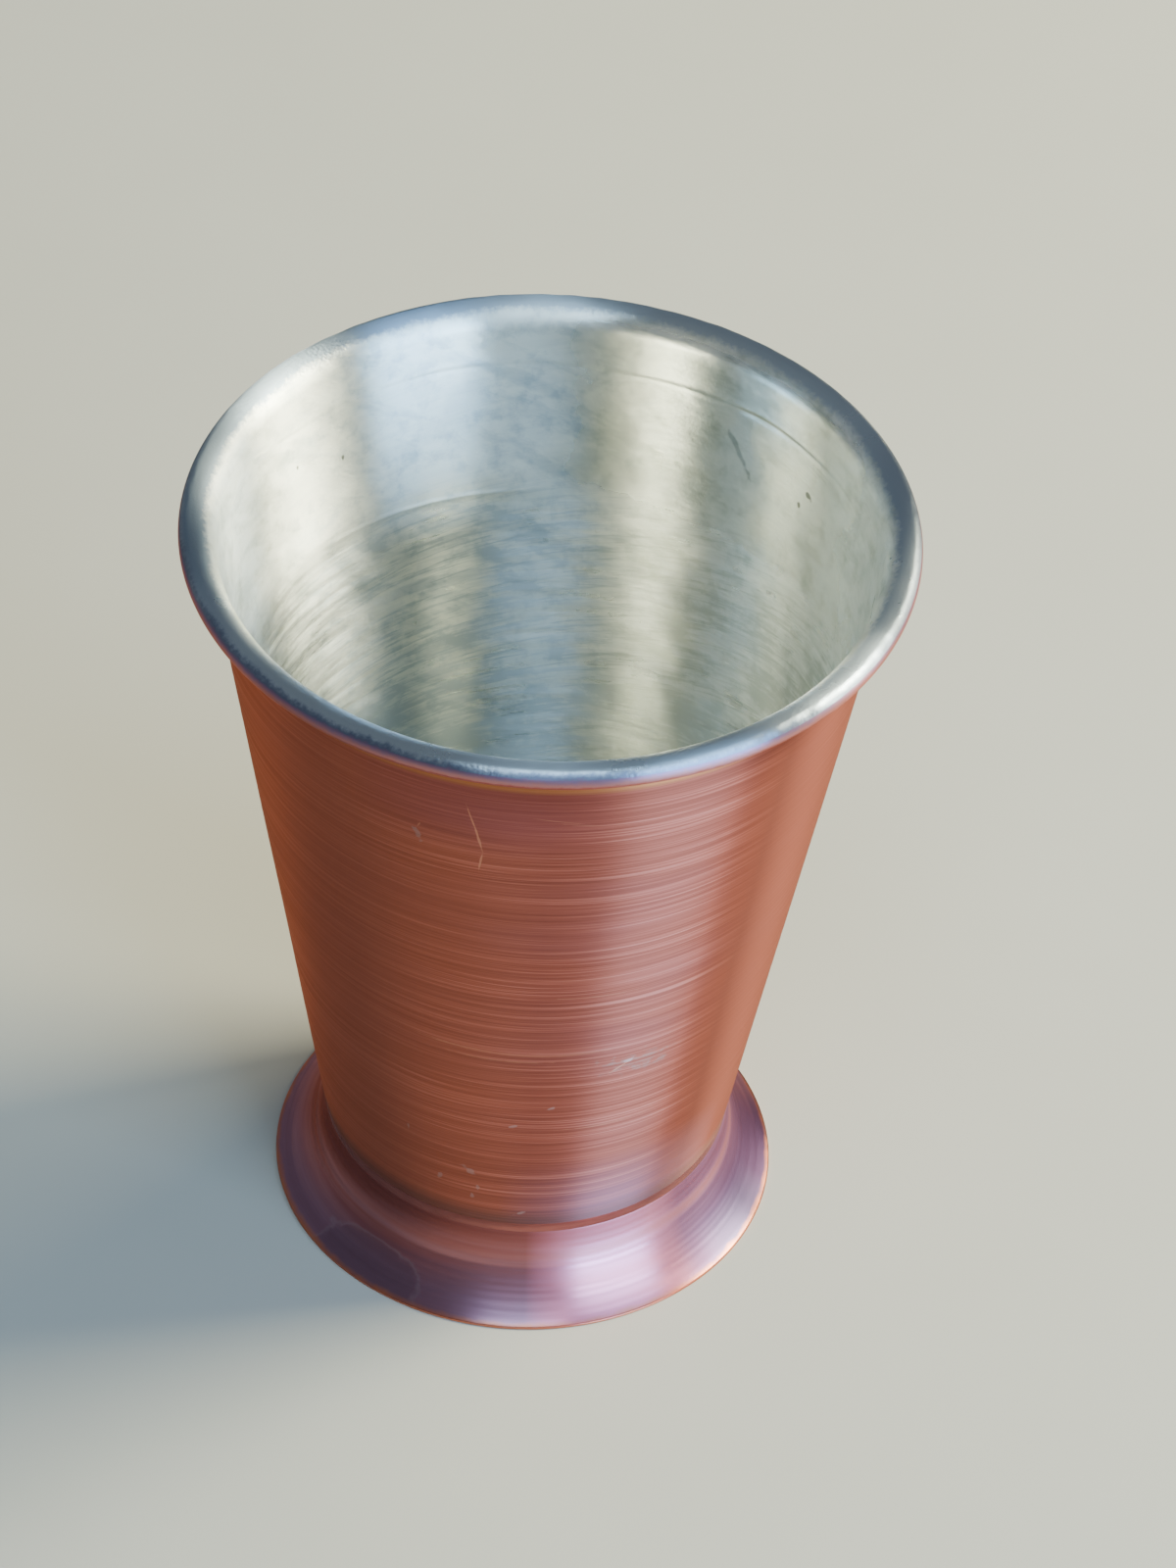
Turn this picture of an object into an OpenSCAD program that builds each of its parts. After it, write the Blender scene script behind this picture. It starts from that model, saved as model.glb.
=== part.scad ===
// Footed copper cup, tinned inside: a straight tapered beaker with a rolled lip, standing on a flared foot.
// The beaker is one sheet: bottom, wall and lip. The foot is a second sheet, soldered on at the waist.
// Every part is a profile turned about Z. The origin is the centre of the circle that the foot stands on,
// and +Z points up, out of the mouth. All sizes are in millimetres.

/* [Cup] */
// Overall height, from the standing edge to the top of the lip
cup_h = 106.5; // [96:0.5:118]
// Outer diameter across the rolled lip
rim_d = 88; // [84:0.5:94]
// Outer diameter at the waist, where the wall meets the foot
waist_d = 51.6; // [48:0.2:56]
// Thickness of the copper sheet of wall, bottom and lip
sheet_t = 0.9; // [0.7:0.1:1]
// Outer radius of the bend between bottom and wall
corner_r = 2; // [1.8:0.1:2.2]

/* [Lip] */
// How far the lip stands out beyond the wall's outer face
lip_w = 3.45; // [3.4:0.05:4.2]
// Depth of the lip, from its top to the straight part of the wall
lip_h = 2.85; // [2.6:0.05:3.2]
// Radius of the rolled outer edge
roll_r = 1.33; // [1.25:0.01:1.45]
// Length of the edge that is tucked back under the lip
tuck_w = 1.3; // [0.4:0.1:1.3]

/* [Lining] */
// Thickness of the tin coat
tin_t = 0.15; // [0.1:0.05:0.2]
// Angle below the lip's crest at which the tin stops on the rolled edge, in degrees
tin_wrap = 60; // [40:5:75]

/* [Foot] */
// Outer diameter of the standing edge
foot_d = 63.6; // [60:0.2:70]
// Height of the seat that the cup's bottom is soldered to
foot_h = 12; // [10:0.5:16]
// Thickness of the foot's sheet
foot_t = 0.9; // [0.7:0.1:1.1]
// Outer radius of the bend between seat and skirt
shoulder_r = 0.6; // [0.4:0.1:0.8]
// Height of the small upright land round the standing edge
land_h = 0.3; // [0.2:0.1:0.5]
// Width of the seat, inwards from the waist
seat_w = 4.3; // [3:0.1:8]

/* [Seam] */
// How far up the cup's bottom bend the solder reaches, in degrees below the horizontal
seam_top_a = 25; // [20:1:35]
// How far down the foot's shoulder the solder reaches, in degrees above the horizontal
seam_low_a = 20; // [15:1:30]

/* [Hidden] */
$fn = 180;

COPPER = [0.58, 0.31, 0.25];
FOOT_COPPER = [0.50, 0.34, 0.42];
SOLDER = [0.56, 0.33, 0.27];
TIN = [0.74, 0.76, 0.71];

// Facets in a long arc, a short arc, and the tiny arcs inside a bend
LONG = 20;
SHORT = 12;
TINY = 6;

waist_r = waist_d / 2;
neck = [rim_d / 2 - lip_w, cup_h - lip_h];

// The wall leans outwards by this angle from the waist up to the neck.
lean = atan((neck[0] - waist_r) / (neck[1] - foot_h));

// Centre of the bend between bottom and wall; both faces of the sheet turn about it.
corner_c = [waist_r - corner_r * tan(45 - lean / 2), foot_h + corner_r];

// Centre of the rolled edge. The lip's broad inner curve meets it at the crest.
crest_z = cup_h - tin_t;
roll_c = [rim_d / 2 - roll_r, crest_z - roll_r];

// Radius of the lip's upper face that touches both the wall's inner face and the crest.
inner_foot = [waist_r - sheet_t / cos(lean), foot_h];
lip_reach = (roll_c[0] - inner_foot[0]) * cos(lean) - (crest_z - inner_foot[1]) * sin(lean);
lip_r = lip_reach / (1 - sin(lean));
lip_c = [roll_c[0], crest_z - lip_r];

// The foot's skirt is a hollow curve: upright at the shoulder, spreading to the standing edge.
flare_out = foot_d / 2 - waist_r;
flare_down = foot_h - shoulder_r - land_h;
flare_r = (pow(flare_out, 2) + pow(flare_down, 2)) / (2 * flare_out);
flare_a = 2 * atan(flare_out / flare_down);
flare_c = [waist_r + flare_r, foot_h - shoulder_r];
shoulder_c = [waist_r - shoulder_r, foot_h - shoulder_r];

// Points along an arc about c, from angle a to angle b, in n steps
function arc(c, r, a, b, n) = [for (i = [0:n]) c + r * [cos(a + (b - a) * i / n), sin(a + (b - a) * i / n)]];

// The face of the sheet, or of the tin on it, that lies d inside the copper's inner face:
// from the middle of the bottom, round the bend, up the wall and over the lip to its crest
function inside_face(d) = concat(
    [[0, foot_h + sheet_t + d]],
    arc(corner_c, corner_r - sheet_t - d, -90, -lean, TINY),
    arc(lip_c, lip_r + d, 180 - lean, 90, LONG)
);

module turned(profile) {
    rotate_extrude() polygon(profile);
}

// Bottom, wall and rolled lip, drawn from one copper sheet
module cup_shell() {
    outside = concat(
        [[0, foot_h]],
        arc(corner_c, corner_r, -90, -lean, SHORT),
        arc(lip_c, lip_r - sheet_t, 180 - lean, 90, LONG)
    );
    roll_inside = arc(roll_c, roll_r - sheet_t, 90, -90, TINY);
    roll_outside = arc(roll_c, roll_r, -90, 90, LONG);
    tuck = [
        roll_c + [-tuck_w, sheet_t - roll_r],
        roll_c + [-tuck_w, -roll_r]
    ];
    inside = inside_face(0);
    inside_down = [for (i = [len(inside) - 1:-1:0]) inside[i]];
    color(COPPER) turned(concat(outside, roll_inside, tuck, roll_outside, inside_down));
}

// Flared foot: a flat seat under the cup's bottom, a rounded shoulder and a spreading skirt
module foot_ring() {
    under_r = flare_r + foot_t;
    seat_drop = foot_t - shoulder_r;
    skirt_outside = arc(flare_c, flare_r, 180, 180 + flare_a, LONG);
    under_top_a = 180 + asin(seat_drop / under_r);
    under_low_a = 180 + asin((foot_h - shoulder_r) / under_r);
    skirt_inside = arc(flare_c, under_r, under_low_a, under_top_a, LONG);
    profile = concat(
        [[waist_r - seat_w, foot_h]],
        arc(shoulder_c, shoulder_r, 90, 0, TINY),
        skirt_outside,
        [[foot_d / 2, 0]],
        skirt_inside,
        [[waist_r - seat_w, foot_h - foot_t]]
    );
    color(FOOT_COPPER) turned(profile);
}

// Solder that fills the groove between the cup's bottom bend and the foot's shoulder almost flush
module solder_seam() {
    under_cup = arc(corner_c, corner_r, -90, -seam_top_a, SHORT);
    over_foot = arc(shoulder_c, shoulder_r, seam_low_a, 90, TINY);
    color(SOLDER) turned(concat(under_cup, over_foot));
}

// Tin coat on the inside of the bottom and wall, over the lip and part of the way round its edge
module tin_lining() {
    copper_side = concat(inside_face(0), arc(roll_c, roll_r, 90, 90 - tin_wrap, SHORT));
    free_side = concat(inside_face(tin_t), arc(roll_c, roll_r + tin_t, 90, 90 - tin_wrap, SHORT));
    free_side_down = [for (i = [len(free_side) - 1:-1:0]) free_side[i]];
    color(TIN) turned(concat(copper_side, free_side_down));
}

cup_shell();
foot_ring();
solder_seam();
tin_lining();
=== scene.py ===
"""Looks of the footed copper cup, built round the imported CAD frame.

Every piece is a mesh turned about Z: a fine profile swept round, with the small unevenness of
hand-finished metal worked into its points. Lengths are millimetres until a mesh is made. Angles round
the cup are degrees: -90 is the front, 0 the right, 90 the back and 180 the left.
"""
import math

import bpy
import numpy as np
from mathutils import Matrix, Vector


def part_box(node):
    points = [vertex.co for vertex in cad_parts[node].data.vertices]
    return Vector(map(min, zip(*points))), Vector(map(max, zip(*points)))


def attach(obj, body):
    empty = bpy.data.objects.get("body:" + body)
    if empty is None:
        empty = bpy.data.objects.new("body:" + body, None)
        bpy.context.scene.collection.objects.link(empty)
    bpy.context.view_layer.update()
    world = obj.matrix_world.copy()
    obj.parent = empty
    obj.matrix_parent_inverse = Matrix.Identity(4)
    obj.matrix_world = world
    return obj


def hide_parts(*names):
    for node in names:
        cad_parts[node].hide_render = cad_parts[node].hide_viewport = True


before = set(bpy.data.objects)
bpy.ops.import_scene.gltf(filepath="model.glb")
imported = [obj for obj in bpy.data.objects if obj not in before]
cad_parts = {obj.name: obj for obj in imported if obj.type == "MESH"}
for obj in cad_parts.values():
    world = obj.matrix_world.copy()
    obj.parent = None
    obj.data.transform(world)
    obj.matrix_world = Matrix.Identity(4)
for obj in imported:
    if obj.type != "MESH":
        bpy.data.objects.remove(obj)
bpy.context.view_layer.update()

MM = 0.001

# ---------------------------------------------------------------- sizes: the frame's and the sheet's
SHELL_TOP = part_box("cup_shell")[1] / MM
FOOT_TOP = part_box("foot_ring")[1] / MM
CUP_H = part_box("tin_lining")[1].z / MM
RIM_R = SHELL_TOP.x
FOOT_R = FOOT_TOP.x
FOOT_H = FOOT_TOP.z
TIN = CUP_H - SHELL_TOP.z
WAIST_R = 25.8
SHEET = 0.9
CORNER_R = 2.0
LIP_W = 3.45
LIP_H = 2.85
ROLL_R = 1.33
TUCK = 1.3
TIN_WRAP = 60
SHOULDER_R = 0.6
LAND_H = 0.3
SEAT_W = 4.3
SEAM_TOP_A = 25
SEAM_LOW_A = 20
EDGE_R = 0.12
SEGMENTS = 432
TIN_SEGMENTS = 400
SHARP_A = 50

# ---------------------------------------------------------------- the profile's construction
NECK = (RIM_R - LIP_W, CUP_H - LIP_H)
LEAN = math.atan2(NECK[0] - WAIST_R, NECK[1] - FOOT_H)
LEAN_DEG = math.degrees(LEAN)
CORNER_C = (WAIST_R - CORNER_R * math.tan(math.pi / 4 - LEAN / 2), FOOT_H + CORNER_R)
CREST = CUP_H - TIN
ROLL_C = (RIM_R - ROLL_R, CREST - ROLL_R)
INNER_FOOT = WAIST_R - SHEET / math.cos(LEAN)
LIP_REACH = (ROLL_C[0] - INNER_FOOT) * math.cos(LEAN) - (CREST - FOOT_H) * math.sin(LEAN)
LIP_R = LIP_REACH / (1 - math.sin(LEAN))
LIP_C = (ROLL_C[0], CREST - LIP_R)
FLARE_OUT = FOOT_R - WAIST_R
FLARE_DOWN = FOOT_H - SHOULDER_R - LAND_H
FLARE_R = (FLARE_OUT**2 + FLARE_DOWN**2) / (2 * FLARE_OUT)
FLARE_A = math.degrees(2 * math.atan2(FLARE_OUT, FLARE_DOWN))
FLARE_C = (WAIST_R + FLARE_R, FOOT_H - SHOULDER_R)
SHOULDER_C = (WAIST_R - SHOULDER_R, FOOT_H - SHOULDER_R)
LINED = SHEET / math.cos(LEAN) + TIN

# ---------------------------------------------------------------- marks that the hand tools left
CREASE_Z = 99.0
RIDGE_Z = 81.0
RIDGE_SPAN = (93, 140)
THIN_FROM = 18
THINNEST = 0.93


def arc(centre, radius, start, stop, count):
    angles = np.radians(np.linspace(start, stop, count + 1))
    return np.column_stack([centre[0] + radius * np.cos(angles), centre[1] + radius * np.sin(angles)])


def between(a, b, fractions):
    return np.asarray(a) + np.asarray(fractions)[:, None] * (np.asarray(b) - np.asarray(a))


def inside(count):
    """Even fractions between 0 and 1, without either end."""
    return np.linspace(0, 1, count + 1)[1:-1]


def graded(count, low, high, spots):
    """Fractions between 0 and 1, without the ends, that crowd together near each height in spots."""
    z = np.linspace(low, high, 2000)
    crowd = 1 + sum(5 * np.exp(-(((z - spot) / 0.9) ** 2)) for spot in spots)
    reach = np.cumsum(crowd)
    reach = (reach - reach[0]) / (reach[-1] - reach[0])
    return np.interp(inside(count), reach, np.linspace(0, 1, len(z)))


def wall_radius(z):
    """Outer radius of the wall at a height."""
    return WAIST_R + (z - FOOT_H) * math.tan(LEAN)


def bell(x, centre, width):
    return np.exp(-(((x - centre) / width) ** 2))


def turned_by(angle, centre):
    """Signed difference in degrees between an angle in radians and a centre in degrees."""
    return (np.degrees(angle) - centre + 180) % 360 - 180


def swell(angle, along, orders, pitches, seed, count=24):
    """A seamless random relief of about unit height: waves with whole orders round the cup, and slants."""
    random = np.random.default_rng(seed)
    total = np.zeros_like(angle)
    for _ in range(count):
        order = random.integers(orders[0], orders[1] + 1) * random.choice([-1, 1])
        pitch = random.uniform(*pitches)
        total += np.sin(order * angle + 2 * math.pi * along / pitch + random.uniform(0, 2 * math.pi))
    return total / math.sqrt(count / 2)


def out_of_round(angle, z):
    """How far the wall stands out of a true circle: a faint oval and broad, shallow waves."""
    height = np.clip((z - FOOT_H) / (CUP_H - FOOT_H), 0, 1)
    oval = 0.08 * np.cos(2 * angle + 0.6) * height**2
    return oval + 0.022 * height**0.5 * swell(angle, z, (3, 9), (30, 90), 11)


def foot_wave(angle):
    return 0.05 * np.cos(2 * angle - 0.8) + 0.02 * np.cos(5 * angle + 1.7)


# ---------------------------------------------------------------- meshes
def lathe(name, profile, shape, segments=SEGMENTS):
    """A closed mesh turned from (radius, height) points. A profile that starts and ends on the axis gets a
    pole at each end; any other is a ring. shape(angle, row, r, z) moves the points, where row is the index
    into the profile."""
    profile = np.asarray(profile, float)
    r, z = profile.T
    wound = np.sum(r * np.roll(z, -1) - np.roll(r, -1) * z)
    order = np.arange(len(profile)) if wound > 0 else np.arange(len(profile))[::-1]
    poles = r[0] < 1e-9
    keep = order[1:-1] if poles else order
    rows = len(keep)
    turn = np.linspace(0, 2 * math.pi, segments, endpoint=False)
    angle, row = np.meshgrid(turn, keep, indexing="ij")
    new_r, new_z = shape(angle, row, r[row], z[row])
    points = np.stack([new_r * np.cos(angle), new_r * np.sin(angle), new_z], -1).reshape(-1, 3)
    i = np.arange(segments)[:, None]
    j = np.arange(rows - 1 if poles else rows)[None, :]
    i2, j2 = (i + 1) % segments, (j + 1) % rows
    quads = np.stack([i * rows + j, i2 * rows + j, i2 * rows + j2, i * rows + j2], -1)
    faces = quads.reshape(-1, 4).tolist()
    if poles:
        first, last = len(points), len(points) + 1
        points = np.vstack([points, [0, 0, z[order[0]]], [0, 0, z[order[-1]]]])
        for k in range(segments):
            k2 = (k + 1) % segments
            faces.append([first, k2 * rows, k * rows])
            faces.append([last, k * rows + rows - 1, k2 * rows + rows - 1])
    mesh = bpy.data.meshes.new(name)
    mesh.from_pydata((points * MM).tolist(), [], faces)
    mesh.validate()
    mesh.shade_smooth()
    mesh.set_sharp_from_angle(angle=math.radians(SHARP_A))
    piece = bpy.data.objects.new(name, mesh)
    bpy.context.scene.collection.objects.link(piece)
    return piece


def inner_face(offset, floor_rows, bend_rows, wall, curl_rows):
    """The inner face of the sheet, or of the tin that lies offset above it, from the middle of the bottom
    to the crest of the lip. wall holds the fractions at which the straight wall gets its rows."""
    bend = arc(CORNER_C, CORNER_R - SHEET - offset, -90, -LEAN_DEG, bend_rows)
    curl = arc(LIP_C, LIP_R + offset, 180 - LEAN_DEG, 90, curl_rows)
    middle = (0, FOOT_H + SHEET + offset)
    return np.vstack([
        [middle], between(middle, bend[0], inside(floor_rows)), bend,
        between(bend[-1], curl[0], wall), curl,
    ])


def make_wall():
    """Bottom, wall and rolled lip: one copper sheet."""
    bend = arc(CORNER_C, CORNER_R, -90, -LEAN_DEG, 14)
    curl = arc(LIP_C, LIP_R - SHEET, 180 - LEAN_DEG, 90, 14)
    middle = (0, FOOT_H)
    outside = np.vstack([
        [middle], between(middle, bend[0], inside(10)), bend,
        between(bend[-1], curl[0], inside(86)), curl,
    ])
    tuck = [
        (ROLL_C[0] - TUCK, ROLL_C[1] + SHEET - ROLL_R),
        (ROLL_C[0] - TUCK, ROLL_C[1] - ROLL_R),
    ]
    profile = np.vstack([
        outside, arc(ROLL_C, ROLL_R - SHEET, 90, -90, 6)[1:], tuck, arc(ROLL_C, ROLL_R, -90, 90, 24),
        inner_face(0, 6, 5, inside(12), 10)[::-1][1:],
    ])
    straight = np.arange(len(profile)) < len(outside)

    def shape(angle, row, r, z):
        brushed = 0.004 * swell(angle, z, (0, 6), (1.8, 4.0), 5)
        above = np.clip((z - FOOT_H - 3) / 3, 0, 1)
        below = np.clip((NECK[1] - 1 - z) / 3, 0, 1)
        on_wall = straight[row] * above * below
        return r + out_of_round(angle, z) + brushed * on_wall, z

    piece = lathe("cup_wall", profile, shape)
    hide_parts("cup_shell")
    return piece


def crease_shift(angle):
    """How far above its usual height the burnished crease runs."""
    wander = 0.22 * np.sin(3 * angle + 0.4) + 0.13 * np.sin(7 * angle + 2.1) + 0.07 * np.sin(17 * angle)
    return wander + 2.3 * bell(turned_by(angle, 161), 0, 9)


def tin_relief(angle, z):
    """Height of the tin's face above its even coat, in millimetres: what burnishing and wiping leave."""
    lumps = 0.016 * swell(angle, z, (2, 14), (9, 40), 3)
    lumps = lumps + 0.007 * swell(angle, z, (12, 40), (4, 12), 4)
    faint = 0.4 + 0.6 * np.clip(swell(angle, z * 0, (2, 11), (50, 90), 8), 0, 1)
    crease = faint * (0.04 * bell(z, CREASE_Z + 0.6, 0.35) - 0.085 * bell(z, CREASE_Z, 0.25))
    middle, half = sum(RIDGE_SPAN) / 2, (RIDGE_SPAN[1] - RIDGE_SPAN[0]) / 2
    along = np.clip(1.2 - (turned_by(angle, middle) / half) ** 4, 0, 1)
    ridge = (0.10 * bell(z, RIDGE_Z, 0.3) - 0.05 * bell(z, RIDGE_Z - 0.8, 0.35)) * along
    below = np.clip((RIDGE_Z - 1 - z) / 4, 0, 1)
    wipes = 0.011 * swell(angle, z, (0, 5), (2.2, 5.0), 6)
    wipes = wipes + 0.007 * swell(angle, z, (4, 20), (2.0, 4.0), 7)
    return lumps + crease + ridge + below * wipes


def make_tin():
    """Tin over the bottom, the wall and the lip, thinning to nothing on the rolled edge."""
    wall_low, wall_high = FOOT_H + CORNER_R, LIP_C[1]
    wall = graded(112, wall_low, wall_high, [RIDGE_Z, CREASE_Z])
    edge = arc(ROLL_C, ROLL_R + TIN, 90, 90 - TIN_WRAP, 20)[1:]
    free = np.vstack([inner_face(TIN, 22, 6, wall, 18), edge])
    under = arc(ROLL_C, ROLL_R, 90, 90 - TIN_WRAP, 10)[1:]
    hidden = np.vstack([inner_face(0, 6, 5, inside(12), 10), under])
    profile = np.vstack([hidden, free[::-1]])
    index = np.arange(len(profile))
    is_free = index >= len(hidden)
    edge_rows = is_free & (index < len(hidden) + len(edge))

    def shape(angle, row, r, z):
        upright = is_free[row] & (z > wall_low) & (z < wall_high) & (r < NECK[0])
        near = bell(z, CREASE_Z, 3.0) * np.clip((wall_high - z) / 1.5, 0, 1)
        shift = upright * crease_shift(angle) * near
        fade = np.clip((z - wall_low) / 3, 0, 1) * np.clip((wall_high - z) / 2, 0, 1)
        relief = upright * fade * tin_relief(angle, z)
        new_z = z + shift + relief * math.sin(LEAN)
        new_r = r + out_of_round(angle, z) + shift * math.tan(LEAN) - relief * math.cos(LEAN)
        round_a = np.arctan2(r - ROLL_C[0], z - ROLL_C[1])
        ragged = 0.10 + 0.09 * swell(angle, z * 0, (15, 90), (50, 90), 9)
        gone = (np.degrees(round_a) - THIN_FROM) / (TIN_WRAP - THIN_FROM) + ragged
        thin = edge_rows[row] * np.clip(gone, 0, THINNEST) * TIN
        return new_r - thin * np.sin(round_a), new_z - thin * np.cos(round_a)

    piece = lathe("tin_coat", profile, shape, TIN_SEGMENTS)
    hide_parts("tin_lining")
    return piece


def make_foot():
    """Seat and flared skirt, spun from a second copper sheet, with its edges a little rounded."""
    under = FLARE_R + SHEET
    top_a = 180 + math.degrees(math.asin((SHEET - SHOULDER_R) / under))
    low_a = 180 + math.degrees(math.asin((FOOT_H - SHOULDER_R) / under))
    shoulder = arc(SHOULDER_C, SHOULDER_R, 90, 0, 8)
    skirt = arc(FLARE_C, FLARE_R, 180, 180 + FLARE_A, 100)[1:-1]
    below = arc(FLARE_C, under, low_a, top_a, 40)
    outer = (FOOT_R - EDGE_R, EDGE_R)
    inner = (below[0][0] + EDGE_R, EDGE_R)
    profile = np.vstack([
        [(WAIST_R - SEAT_W, FOOT_H)], shoulder, skirt,
        arc((outer[0], LAND_H), EDGE_R, 40, 0, 3), arc(outer, EDGE_R, 0, -90, 4),
        arc(inner, EDGE_R, -90, -170, 4),
        below[1:], [(WAIST_R - SEAT_W, FOOT_H - SHEET)],
    ])
    index = np.arange(len(profile))
    first = 1 + len(shoulder)
    spun = (index >= first) & (index < first + len(skirt) - 4)

    def shape(angle, row, r, z):
        grooves = spun[row] * 0.008 * swell(angle, z - r, (0, 3), (1.1, 3.2), 21)
        low = np.clip(1 - z / FOOT_H, 0, 1)
        return r + grooves + foot_wave(angle) * low, z

    piece = lathe("foot_skirt", profile, shape)
    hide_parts("foot_ring")
    return piece


def make_solder():
    """Solder in the groove at the waist, dressed almost flush."""
    upper = arc(CORNER_C, CORNER_R, -90, -SEAM_TOP_A, 12)
    lower = arc(SHOULDER_C, SHOULDER_R, SEAM_LOW_A, 90, 7)
    face = between(upper[-1], lower[0], inside(10))
    face[:, 0] -= 0.03 * np.sin(math.pi * inside(10))
    profile = np.vstack([upper, face, lower])
    index = np.arange(len(profile))
    on_face = (index >= len(upper)) & (index < len(upper) + len(face))

    def shape(angle, row, r, z):
        return r + on_face[row] * 0.008 * swell(angle, z, (9, 60), (2, 6), 31), z

    piece = lathe("waist_solder", profile, shape)
    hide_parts("solder_seam")
    return piece


# ---------------------------------------------------------------- materials
class Nodes:
    """A Principled material, with short calls for the shader nodes that the materials below share."""

    def __init__(self, name):
        self.material = bpy.data.materials.new(name)
        self.material.use_nodes = True
        self.tree = self.material.node_tree
        self.shader = self.tree.nodes["Principled BSDF"]
        self.place = self.add("TexCoord").outputs["Object"]
        self.x, self.y, self.z = self.add("SeparateXYZ", {"Vector": self.place}).outputs
        level = self.add("CombineXYZ", {"X": self.x, "Y": self.y}).outputs[0]
        self.r = self.add("VectorMath", {0: level}, operation="LENGTH").outputs["Value"]

    def add(self, kind, inputs=None, **settings):
        node = self.tree.nodes.new("ShaderNode" + kind)
        for key, value in settings.items():
            setattr(node, key, value)
        for key, value in (inputs or {}).items():
            self.feed(node.inputs[key], value)
        return node

    def feed(self, socket, value):
        if isinstance(value, bpy.types.NodeSocket):
            self.tree.links.new(value, socket)
        else:
            socket.default_value = value

    def set(self, **inputs):
        for key, value in inputs.items():
            self.feed(self.shader.inputs[key.replace("_", " ")], value)

    def math(self, operation, a, b=0.0):
        return self.add("Math", {0: a, 1: b}, operation=operation).outputs[0]

    def product(self, *factors):
        total = factors[0]
        for factor in factors[1:]:
            total = self.math("MULTIPLY", total, factor)
        return total

    def blend(self, *parts):
        """The sum of (weight, value) pairs."""
        total = None
        for weight, value in parts:
            term = self.math("MULTIPLY", value, weight)
            total = term if total is None else self.math("ADD", total, term)
        return total

    def rings(self, around, across, down=1.0, slant=(0.0, 0.0)):
        """Coordinates for a noise drawn out round the axis. around and across are its scales per metre; down
        is 1 where height and radius grow together and -1 on the flare, and slant tips the lines."""
        level = self.blend(
            (across, self.z), (across * down, self.r),
            (across * slant[0], self.x), (across * slant[1], self.y),
        )
        x = self.math("MULTIPLY", self.x, around)
        y = self.math("MULTIPLY", self.y, around)
        return self.add("CombineXYZ", {"X": x, "Y": y, "Z": level}).outputs[0]

    def grain(self, per_metre, offset=0.0):
        """Coordinates for a noise that is alike in all directions."""
        inputs = {"Vector": self.place, "Scale": (per_metre,) * 3, "Location": (offset,) * 3}
        return self.add("Mapping", inputs).outputs[0]

    def noise(self, vector, detail=3.0, roughness=0.55):
        inputs = {"Vector": vector, "Scale": 1.0, "Detail": detail, "Roughness": roughness}
        return self.add("TexNoise", inputs).outputs["Fac"]

    def uneven(self, vector, detail=3.0, roughness=0.55):
        """A noise with its middle at 0."""
        return self.math("SUBTRACT", self.noise(vector, detail, roughness), 0.5)

    def band(self, value, low, high, to_low=0.0, to_high=1.0):
        """value taken from low..high to to_low..to_high, and held at the ends."""
        inputs = {
            "Value": value, "From Min": low, "From Max": high, "To Min": to_low, "To Max": to_high,
        }
        return self.add("MapRange", inputs).outputs[0]

    def level(self, off, on):
        """0 at the height off and 1 at the height on, in millimetres."""
        return self.band(self.z, off * MM, on * MM)

    def mix(self, factor, a, b):
        node = self.add("Mix", data_type="RGBA")
        self.feed(node.inputs[0], factor)
        self.feed(node.inputs[6], a)
        self.feed(node.inputs[7], b)
        return node.outputs[2]

    def tint(self, colour, target, weight, *masks):
        """colour, gone over to target by the weight where all the masks are 1."""
        return self.mix(self.product(*masks, weight), colour, target)

    def bump(self, height, distance, strength):
        inputs = {"Height": height, "Distance": distance, "Strength": strength}
        return self.add("Bump", inputs).outputs[0]

    def tangent(self):
        return self.add("Tangent", direction_type="RADIAL", axis="Z").outputs[0]

    def roll(self):
        """Angle round the lip's rolled edge in degrees: 0 at the crest, 90 at the outermost line."""
        out = self.math("SUBTRACT", self.r, ROLL_C[0] * MM)
        up = self.math("SUBTRACT", self.z, ROLL_C[1] * MM)
        return self.math("DEGREES", self.math("ARCTAN2", out, up))

    def facing(self, azimuth, width):
        """1 on the side that faces the azimuth, falling smoothly to 0 at width degrees away."""
        a = math.radians(azimuth)
        toward = self.blend((math.cos(a), self.x), (math.sin(a), self.y))
        return self.band(self.math("DIVIDE", toward, self.r), math.cos(math.radians(width)), 1.0)

    def side(self, azimuth, width, full, weight=1.0):
        """facing, brought to weight already where it reaches full."""
        return self.band(self.facing(azimuth, width), 0.0, full, 0.0, weight)

    def mark(self, azimuth, z, radius, size, tilt=0.0, ragged=0.35):
        """1 on a small mark on a face of the given radius, 0 elsewhere. size is its half height and half
        width when tilt is 0, and tilt turns it to the right."""
        a, t = math.radians(azimuth), math.radians(tilt)
        side = Vector((-math.sin(a), math.cos(a), 0))
        rise = Vector((math.sin(LEAN) * math.cos(a), math.sin(LEAN) * math.sin(a), math.cos(LEAN)))
        along = math.cos(t) * rise + math.sin(t) * side
        over = math.cos(t) * side - math.sin(t) * rise
        centre = Vector((radius * math.cos(a), radius * math.sin(a), z)) * MM
        offset = self.add("VectorMath", {0: self.place, 1: centre}, operation="SUBTRACT").outputs[0]
        reach = []
        for axis, half in ((along, size[0]), (over, size[1]), (side.cross(rise), 3)):
            dot = self.add("VectorMath", {0: offset, 1: axis / (half * MM)}, operation="DOT_PRODUCT")
            reach.append(dot.outputs["Value"])
        vector = self.add("CombineXYZ", {"X": reach[0], "Y": reach[1], "Z": reach[2]}).outputs[0]
        length = self.add("VectorMath", {0: vector}, operation="LENGTH").outputs["Value"]
        frayed = self.uneven(self.grain(900), 2)
        return self.band(self.blend((1.0, length), (ragged * 4, frayed)), 1.15, 0.6)


def rgb(r, g, b):
    return (r, g, b, 1.0)


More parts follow.
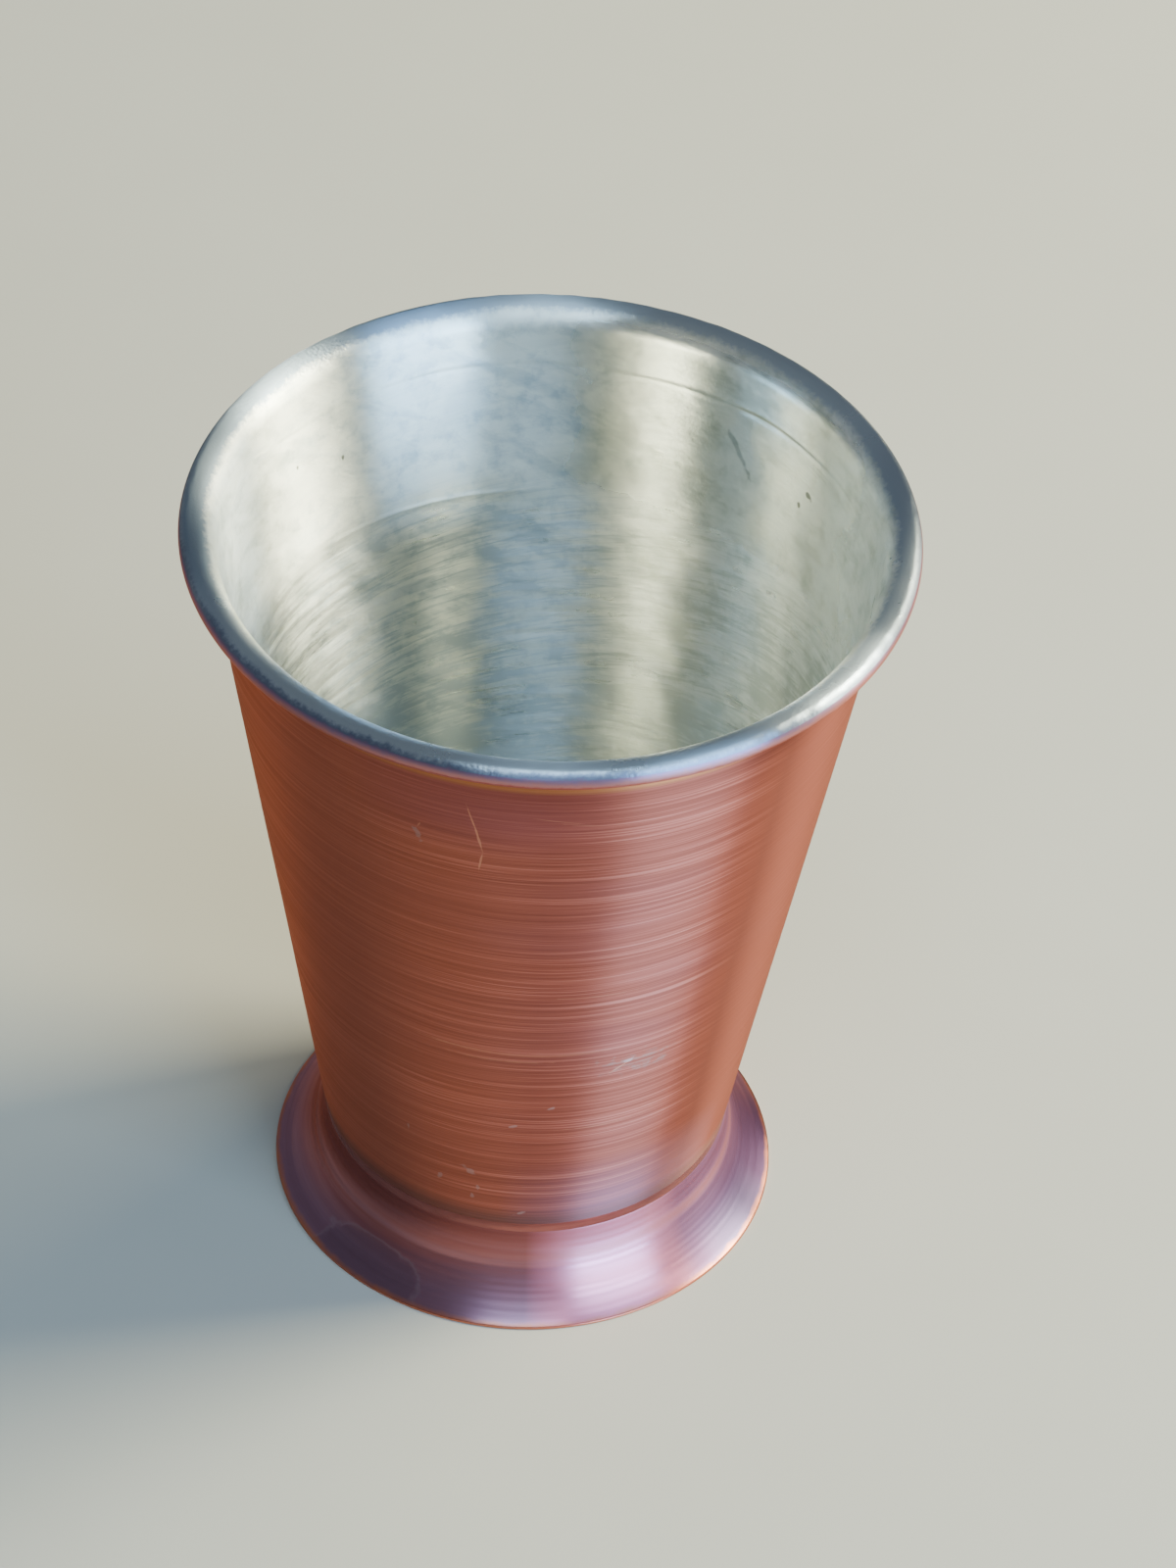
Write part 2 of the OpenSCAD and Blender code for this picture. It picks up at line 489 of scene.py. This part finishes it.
COPPER_DARK = rgb(0.29, 0.078, 0.055)
COPPER = rgb(0.46, 0.130, 0.095)
COPPER_PINK = rgb(0.66, 0.235, 0.195)
COPPER_PAINTED_LIGHT = rgb(0.58, 0.18, 0.115)
COPPER_PAINTED_SHADE = rgb(0.125, 0.045, 0.042)
COPPER_ORANGE = rgb(0.62, 0.25, 0.10)
COPPER_WORN = rgb(0.72, 0.29, 0.19)
COPPER_GRAZING = rgb(0.85, 0.5, 0.38)
PLUM = rgb(0.33, 0.105, 0.105)
PLUM_SPOT = rgb(0.33, 0.10, 0.12)
VIOLET = rgb(0.34, 0.17, 0.25)
WAIST_PAINTED_SHADE = rgb(0.15, 0.09, 0.09)
SMEAR = rgb(0.30, 0.25, 0.22)
SPECK = rgb(0.62, 0.40, 0.38)
LIP_PINK = rgb(0.46, 0.19, 0.20)
LIP_VIOLET = rgb(0.27, 0.17, 0.29)

FOOT_MAUVE = rgb(0.34, 0.115, 0.135)
FOOT_RED = rgb(0.36, 0.105, 0.085)
FOOT_BROWN = rgb(0.24, 0.070, 0.062)
FOOT_PALE_LINE = rgb(0.58, 0.28, 0.32)
FOOT_DARK_LINE = rgb(0.22, 0.11, 0.16)
FOOT_PAINTED_HIGHLIGHT_LOW = rgb(0.84, 0.25, 0.36)
FOOT_PAINTED_HIGHLIGHT_HIGH = rgb(1.0, 0.37, 0.62)
FOOT_PURPLE_PAINTED_SHADE = rgb(0.20, 0.105, 0.24)
FOOT_PAINTED_SHADE = rgb(0.09, 0.05, 0.12)
FOOT_PINK = rgb(0.56, 0.20, 0.18)
FOOT_BLUE = rgb(0.20, 0.19, 0.36)
FOOT_GRAZING = rgb(0.85, 0.55, 0.5)
STAIN = rgb(0.20, 0.12, 0.18)
STAIN_LINE = rgb(0.50, 0.36, 0.42)
EDGE_COPPER = rgb(0.70, 0.24, 0.13)

TIN_CLEAN = rgb(0.965, 0.97, 0.94)
TIN_DULL = rgb(0.58, 0.60, 0.55)
TIN_PAINTED_BLUE_REFLECTION = rgb(0.53, 0.59, 0.65)
TIN_PIT = rgb(0.22, 0.23, 0.20)
LIP_GREY = rgb(0.55, 0.60, 0.67)
LIP_PAINTED_SHADE_LEFT = rgb(0.27, 0.34, 0.46)
LIP_PAINTED_SHADE_RIGHT = rgb(0.34, 0.40, 0.50)
OXIDE = rgb(0.33, 0.38, 0.50)
STEEL_BLUE = rgb(0.17, 0.19, 0.30)

SOLDER_DARK = rgb(0.26, 0.085, 0.075)
SOLDER_PALE = rgb(0.38, 0.13, 0.11)
FLOOR_DARK = rgb(0.41, 0.38, 0.345)
FLOOR_PALE = rgb(0.435, 0.405, 0.37)

ROUND_THE_AXIS = 0.25

# weight, azimuth, height, (half height, half width), tilt
WALL_STROKES = [
    (0.7, -101.4, 94.2, (2.1, 0.11), -13.5), (0.8, -100.1, 90.4, (2.6, 0.17), -11),
    (0.7, -99.8, 86.2, (1.8, 0.14), 8), (0.5, -110.9, 90.6, (0.5, 0.12), 25),
    (0.25, -92, 49, (0.22, 24), 0.6), (0.6, -68.5, 45.2, (1.7, 0.12), 55),
    (0.4, -86, 94.8, (0.07, 3.2), 9), (0.35, -82.5, 94.1, (0.07, 2.4), 7),
    (0.35, -77, 60.5, (0.08, 5.0), 1), (0.35, -71, 33.5, (0.09, 6.0), -1),
    (0.35, -96, 47.6, (0.16, 7.0), 0.5), (0.3, -108, 49.2, (0.12, 5.0), -0.5),
]
# azimuth, height, half height, tilt
WALL_SPECKS = [
    (-103.8, 23.6, 1.2, -35), (-112, 20.6, 0.7, 20), (-101.5, 20.2, 0.5, 0), (-103, 18.4, 0.6, 0),
    (-90, 15.6, 0.7, 60), (-111.3, 88.6, 0.95, -22), (-120, 28.5, 0.5, 0), (-67, 46, 0.9, 70),
    (-93, 34, 0.6, 60), (-84, 38, 0.5, 60),
]
TIN_PITS = [(34.7, 94.0, 0.55, 70), (36.8, 91.9, 0.5, 20), (133.5, 91.9, 0.4, 0), (145, 94.7, 0.35, 0)]


def copper_material():
    """Copper brushed round the wall, with a patina that changes round the cup, scratches and specks, painted
    light on the front left, painted shade on the right and above the waist, and a painted reflection of the
    foot low on the front right.
    """
    n = Nodes("brushed_copper")
    hair = n.noise(n.rings(25, 5200, slant=(0.02, -0.015)), 2)
    fine = n.noise(n.rings(22, 1900, slant=(-0.015, 0.02)), 3)
    streak = n.noise(n.rings(20, 620, slant=(0.01, 0.01)), 3)
    patch = n.noise(n.rings(22, 60), 3)
    lines = n.blend((0.45, hair), (0.42, fine), (0.13, streak))
    colour = n.mix(n.band(lines, 0.42, 0.58), COPPER_DARK, COPPER)
    colour = n.mix(n.band(lines, 0.54, 0.66, 0, 0.8), colour, COPPER_PINK)
    colour = n.mix(n.band(patch, 0.48, 0.72, 0, 0.35), colour, PLUM)

    # Painted light: the copper facing the front left is made lighter, standing in for light on that side.
    colour = n.tint(colour, COPPER_PAINTED_LIGHT, 0.7, n.facing(-138, 50))
    # Painted shade: the copper facing the right is darkened to hold down the side lamp's reflection there.
    colour = n.mix(n.side(-20, 34, 0.55, 0.85), colour, COPPER_PAINTED_SHADE)
    colour = n.tint(colour, PLUM_SPOT, 0.5, n.facing(-100, 24), n.level(87, 93))
    # Painted reflection: a violet tint low on the front right of the wall stands for the bright foot
    # mirrored in it.
    colour = n.tint(colour, VIOLET, 0.6, n.facing(-62, 34), n.level(27, 16))
    # Painted shade: a dark band round the wall just above the waist, where it meets the foot.
    colour = n.tint(colour, WAIST_PAINTED_SHADE, 0.55, n.level(16.5, 14.0), n.level(12.2, 13.4))
    colour = n.tint(colour, COPPER_ORANGE, 0.7, n.level(99.6, 100.3), n.level(102.0, 101.2))

    reach = n.blend((1.0, n.roll()), (40, n.uneven(n.grain(900), 3, 0.6)))
    rolled = n.product(n.band(n.r, 0.0418, 0.0426), n.level(103.0, 103.6))
    colour = n.mix(n.product(rolled, n.band(reach, 118, 100)), colour, LIP_PINK)
    colour = n.mix(n.product(rolled, n.band(reach, 92, 62)), colour, LIP_VIOLET)

    strokes = [(w, n.mark(a, z, wall_radius(z), size, t, 0.3)) for w, a, z, size, t in WALL_STROKES]
    worn = n.blend(*strokes)
    colour = n.mix(n.math("MINIMUM", worn, 1.0), colour, COPPER_WORN)
    smear = n.mark(-64.5, 45.5, wall_radius(45.5), (1.5, 4.0), 4, 1.0)
    colour = n.tint(colour, SMEAR, 0.4, smear, n.band(fine, 0.40, 0.58))
    spots = [(0.4, n.mark(a, z, wall_radius(z), (s, 0.38 * s), t, 0.9)) for a, z, s, t in WALL_SPECKS]
    specks = n.blend(*spots)
    colour = n.mix(n.math("MINIMUM", specks, 1.0), colour, SPECK)

    rough = n.blend(
        (1.0, n.band(lines, 0.35, 0.65, 0.54, 0.44)), (0.2, specks), (-0.12, rolled),
        (-0.06, n.side(-12, 48, 0.6)),
    )
    relief = n.blend((0.6, hair), (0.6, fine), (-1.0, worn))
    n.set(
        Base_Color=colour, Metallic=1.0, Roughness=rough, Specular_Tint=COPPER_GRAZING,
        Anisotropic=0.95, Anisotropic_Rotation=ROUND_THE_AXIS, Tangent=n.tangent(),
        Normal=n.bump(relief, 0.00003, 0.5),
    )
    return n.material


def foot_material():
    """Copper with a violet heat tint, a painted highlight in front, a purple tint and painted shade on the
    right, a stain on the left and a bare edge.
    """
    n = Nodes("foot_copper")
    hair = n.noise(n.rings(22, 4200, -1.0), 2)
    streak = n.noise(n.rings(18, 420, -1.0), 3)
    patch = n.uneven(n.grain(60))
    low = n.band(n.blend((1.0, n.z), (0.006, patch)), 0.0080, 0.0015)
    colour = n.mix(low, FOOT_MAUVE, VIOLET)
    colour = n.mix(n.product(n.facing(-165, 75), n.level(2.5, 6.0)), colour, FOOT_RED)
    colour = n.mix(n.band(streak, 0.48, 0.72, 0, 0.35), colour, FOOT_PALE_LINE)
    colour = n.mix(n.band(streak, 0.48, 0.30, 0, 0.30), colour, FOOT_DARK_LINE)

    # Painted highlight: the foot's copper is made much lighter and pinker in front, where the key lamp's
    # highlight falls.
    painted_highlight = n.mix(n.level(4.0, 7.0), FOOT_PAINTED_HIGHLIGHT_LOW, FOOT_PAINTED_HIGHLIGHT_HIGH)
    colour = n.mix(n.side(-62, 26, 0.6, 0.8), colour, painted_highlight)
    # The right of the foot gets a purple tint that is also darkened as painted shade against the side lamp;
    # the next line adds more painted shade low on the right.
    colour = n.mix(n.side(-15, 36, 0.5, 0.8), colour, FOOT_PURPLE_PAINTED_SHADE)
    colour = n.mix(n.product(n.side(-13, 40, 0.8), n.level(8.0, 4.0)), colour, FOOT_PAINTED_SHADE)
    colour = n.tint(colour, FOOT_PINK, 0.35, n.level(6.6, 7.4), n.level(8.6, 7.8))
    colour = n.tint(colour, FOOT_BLUE, 0.25, n.facing(-23, 16), n.level(4.5, 2.0))
    colour = n.tint(colour, FOOT_BROWN, 0.75, n.facing(-122, 95), n.level(7.2, 10.0))

    ragged = n.uneven(n.grain(260), 3, 0.6)
    edge = n.blend((1.0, n.facing(-130, 19)), (1.6, patch), (0.9, ragged))
    spill = n.product(edge, n.side(-130, 30, 0.25), n.level(5.0, 2.6))
    colour = n.mix(n.band(spill, 0.18, 0.40, 0, 0.45), colour, STAIN)
    colour = n.tint(colour, STAIN_LINE, 0.22, n.band(spill, 0.16, 0.24), n.band(spill, 0.33, 0.25))

    worn = n.blend((1.0, n.z), (0.0006, n.uneven(n.grain(350))))
    colour = n.mix(n.band(worn, 0.00075, 0.0003, 0, 0.9), colour, EDGE_COPPER)
    n.set(
        Base_Color=colour, Metallic=1.0, Specular_Tint=FOOT_GRAZING,
        Roughness=n.band(streak, 0.35, 0.65, 0.40, 0.30),
        Anisotropic=0.85, Anisotropic_Rotation=ROUND_THE_AXIS, Tangent=n.tangent(),
        Normal=n.bump(n.blend((0.5, hair), (1.0, streak)), 0.00003, 0.4),
    )
    return n.material


def tin_colour(n, wipe, cloud, smear, wiped):
    """Clean tin above the wiped part of the wall, duller below it, darker towards the bottom as painted
    shade and tinted blue at the back as a painted reflection, with dark pits.
    """
    fine = n.noise(n.rings(120, 1500, slant=(-0.25, 0.15)), 3, 0.7)
    haze = n.noise(n.grain(330, 1.6), 4, 0.65)
    rubbed = n.blend((0.55, n.band(wipe, 0.42, 0.60)), (0.75, n.band(fine, 0.50, 0.66)))
    # The tin's dullness comes from wiping and clouding, and the last term darkens it towards the bottom as
    # painted shade.
    dull_and_shade = n.blend(
        (1.0, n.product(rubbed, n.band(wiped, 0, 1, 0.15, 0.9))), (0.35, n.band(cloud, 0.50, 0.62)),
        (0.45, n.band(smear, 0.52, 0.64)), (0.45, n.band(haze, 0.50, 0.66)), (0.45, n.level(62, 45)),
    )
    # Painted reflection: the dull tin at the back is tinted blue, standing in for cool light mirrored there.
    dull_colour = n.mix(n.side(112, 42, 0.6, 0.9), TIN_DULL, TIN_PAINTED_BLUE_REFLECTION)
    colour = n.mix(dull_and_shade, TIN_CLEAN, dull_colour)
    spot = n.band(n.noise(n.grain(420, 3.0), 2), 0.78, 0.84, 0, 0.5)
    pits = [(1.0, n.mark(a, z, wall_radius(z) - LINED, (s, 0.6 * s), t, 0.8)) for a, z, s, t in TIN_PITS]
    scrape = n.mark(53.5, 93.5, wall_radius(93.5) - LINED, (4.2, 0.35), 38, 0.9)
    marks = n.blend((1.0, spot), *pits, (0.5, scrape))
    return n.mix(n.math("MINIMUM", marks, 1.0), colour, TIN_PIT)


def tin_material():
    """Hand-wiped tin inside, going over to blue-grey oxide round the outside of the lip, with painted shade
    on the lip at the back left and at the right.
    """
    n = Nodes("tin")
    hair = n.noise(n.rings(70, 3000, slant=(0.05, -0.04)), 3)
    wipe = n.noise(n.rings(60, 650, slant=(-0.10, 0.08)), 4, 0.65)
    smear = n.noise(n.rings(100, 230, slant=(0.45, 0.35)), 4, 0.6)
    cloud = n.noise(n.grain(90), 4, 0.6)
    grit = n.noise(n.grain(2600), 3, 0.65)
    wiped = n.level(83.5, 76.5)
    colour = tin_colour(n, wipe, cloud, smear, wiped)

    mottle = n.uneven(n.grain(1300), 4, 0.7)
    drift = n.uneven(n.grain(130), 2)
    reach = n.blend((55, mottle), (45, drift), (7, n.facing(-125, 80)), (1.0, n.roll()))
    outside = n.band(n.r, 0.0402, 0.0407)
    # Blue-grey over the lip, darker at the back left and at the right as painted shade against the lamps'
    # reflections.
    ring = n.mix(n.side(155, 60, 0.7, 0.85), LIP_GREY, LIP_PAINTED_SHADE_LEFT)
    ring = n.mix(n.side(-18, 50, 0.7, 0.7), ring, LIP_PAINTED_SHADE_RIGHT)
    oxide = n.product(outside, n.band(reach, 22, 44))
    deep = n.product(outside, n.band(reach, 34, 58), n.band(n.facing(-125, 85), 0, 1, 0.45, 0.95))
    colour = n.mix(n.product(outside, n.band(reach, -76, -50)), colour, ring)
    colour = n.mix(oxide, colour, OXIDE)
    colour = n.mix(deep, colour, STEEL_BLUE)
    colour = n.mix(n.product(outside, n.band(reach, 58, 76)), colour, LIP_VIOLET)

    above = n.level(80.0, 84.0)
    burnished = n.product(above, n.side(58, 42, 0.9), n.band(n.r, 0.0403, 0.0399))
    hazy = n.product(above, n.side(142, 62, 0.4))
    rough = n.blend(
        (1.0, n.band(cloud, 0.38, 0.62, 0.26, 0.33)),
        (1.0, n.product(wiped, n.band(wipe, 0.40, 0.62, 0.0, 0.12))),
        (0.06, oxide), (-0.11, burnished), (0.11, hazy),
    )
    strokes = n.blend((1.0, n.product(wipe, n.band(wiped, 0, 1, 0.3, 1.0))), (0.5, smear))
    relief = n.blend((0.12, hair), (1.0, strokes), (0.08, grit), (0.2, n.product(outside, grit)))
    n.set(
        Base_Color=colour, Metallic=1.0, Roughness=rough,
        Anisotropic=1.0, Anisotropic_Rotation=ROUND_THE_AXIS, Tangent=n.tangent(),
        Normal=n.bump(relief, 0.00016, 0.6),
    )
    return n.material


def solder_material():
    n = Nodes("solder")
    blotch = n.noise(n.rings(150, 900, -1.0), 3)
    colour = n.mix(n.band(blotch, 0.35, 0.65), SOLDER_DARK, SOLDER_PALE)
    n.set(
        Base_Color=colour, Metallic=1.0, Roughness=n.band(blotch, 0.3, 0.7, 0.55, 0.45),
        Normal=n.bump(blotch, 0.00008, 0.5),
    )
    return n.material


def dress(piece, material):
    piece.data.materials.append(material)
    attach(piece, "root")


# ---------------------------------------------------------------- stage, light and camera
SURROUND = rgb(0.76, 0.90, 1.0)
SURROUND_POWER = 0.25
LIGHT_AWAY = 1.2
LIGHT_AIM = 0.6
SENSOR = 36
LENS = 148.5
PITCH = 43.0
YAW = 0.59
ROLL = 3.03
AIM_RIGHT = 0.0675
AIM_UP = 0.607
AWAY = 9.005


def make_floor():
    half = 1.5
    corners = [(-half, -half, 0), (half, -half, 0), (half, half, 0), (-half, half, 0)]
    mesh = bpy.data.meshes.new("floor")
    mesh.from_pydata(corners, [], [(0, 1, 2, 3)])
    floor = bpy.data.objects.new("floor", mesh)
    bpy.context.scene.collection.objects.link(floor)
    n = Nodes("floor")
    speckle = n.noise(n.grain(30), 2)
    n.set(Base_Color=n.mix(speckle, FLOOR_DARK, FLOOR_PALE), Roughness=0.75)
    mesh.materials.append(n.material)


def direction(azimuth, elevation):
    a, e = math.radians(azimuth), math.radians(elevation)
    return Vector((math.cos(a) * math.cos(e), math.sin(a) * math.cos(e), math.sin(e)))


def make_light(name, azimuth, elevation, size, power, colour):
    """A soft box that faces the cup. size is its width and height in metres, and power is in watts."""
    data = bpy.data.lights.new(name, "AREA")
    data.shape = "RECTANGLE"
    data.size, data.size_y = size
    data.energy = power
    data.color = colour
    light = bpy.data.objects.new(name, data)
    toward = direction(azimuth, elevation)
    light.location = Vector((0, 0, LIGHT_AIM * CUP_H * MM)) + LIGHT_AWAY * toward
    light.rotation_euler = toward.to_track_quat("Z", "Y").to_euler()
    bpy.context.scene.collection.objects.link(light)


def make_world():
    """A dim, cool surround."""
    world = bpy.data.worlds.new("studio")
    world.use_nodes = True
    background = world.node_tree.nodes["Background"]
    background.inputs["Color"].default_value = SURROUND
    background.inputs["Strength"].default_value = SURROUND_POWER
    bpy.context.scene.world = world


def make_camera():
    """Looks down on the cup from the front, a little turned and rolled, from nine rim widths away."""
    data = bpy.data.cameras.new("camera")
    data.sensor_width = SENSOR
    data.lens = LENS
    camera = bpy.data.objects.new("camera", data)
    rim = 2 * RIM_R * MM
    aim = Vector((AIM_RIGHT * rim, 0, AIM_UP * CUP_H * MM))
    pitch, yaw, roll = (math.radians(a) for a in (PITCH, YAW, ROLL))
    ahead = Vector((math.sin(yaw) * math.cos(pitch), math.cos(yaw) * math.cos(pitch), -math.sin(pitch)))
    side = Vector((math.cos(yaw), -math.sin(yaw), 0))
    up = side.cross(ahead)
    right = math.cos(roll) * side + math.sin(roll) * up
    top = math.cos(roll) * up - math.sin(roll) * side
    spot = aim - AWAY * rim * ahead
    rows = [[right[k], top[k], -ahead[k], spot[k]] for k in range(3)]
    camera.matrix_world = Matrix(rows + [[0, 0, 0, 1]])
    bpy.context.scene.collection.objects.link(camera)
    bpy.context.scene.camera = camera


make_camera()
make_world()
make_floor()
make_light("key", -46, 14, (0.72, 0.42), 27, (0.42, 0.72, 1.0))
make_light("side", 15, 37, (0.46, 0.52), 40, (1.0, 1.0, 0.70))
make_light("back_right", 40, 20, (0.42, 0.38), 8, (1.0, 0.97, 0.65))
make_light("front_top", -85, 62, (0.5, 0.4), 6, (0.55, 0.82, 1.0))

dress(make_wall(), copper_material())
dress(make_tin(), tin_material())
dress(make_foot(), foot_material())
dress(make_solder(), solder_material())
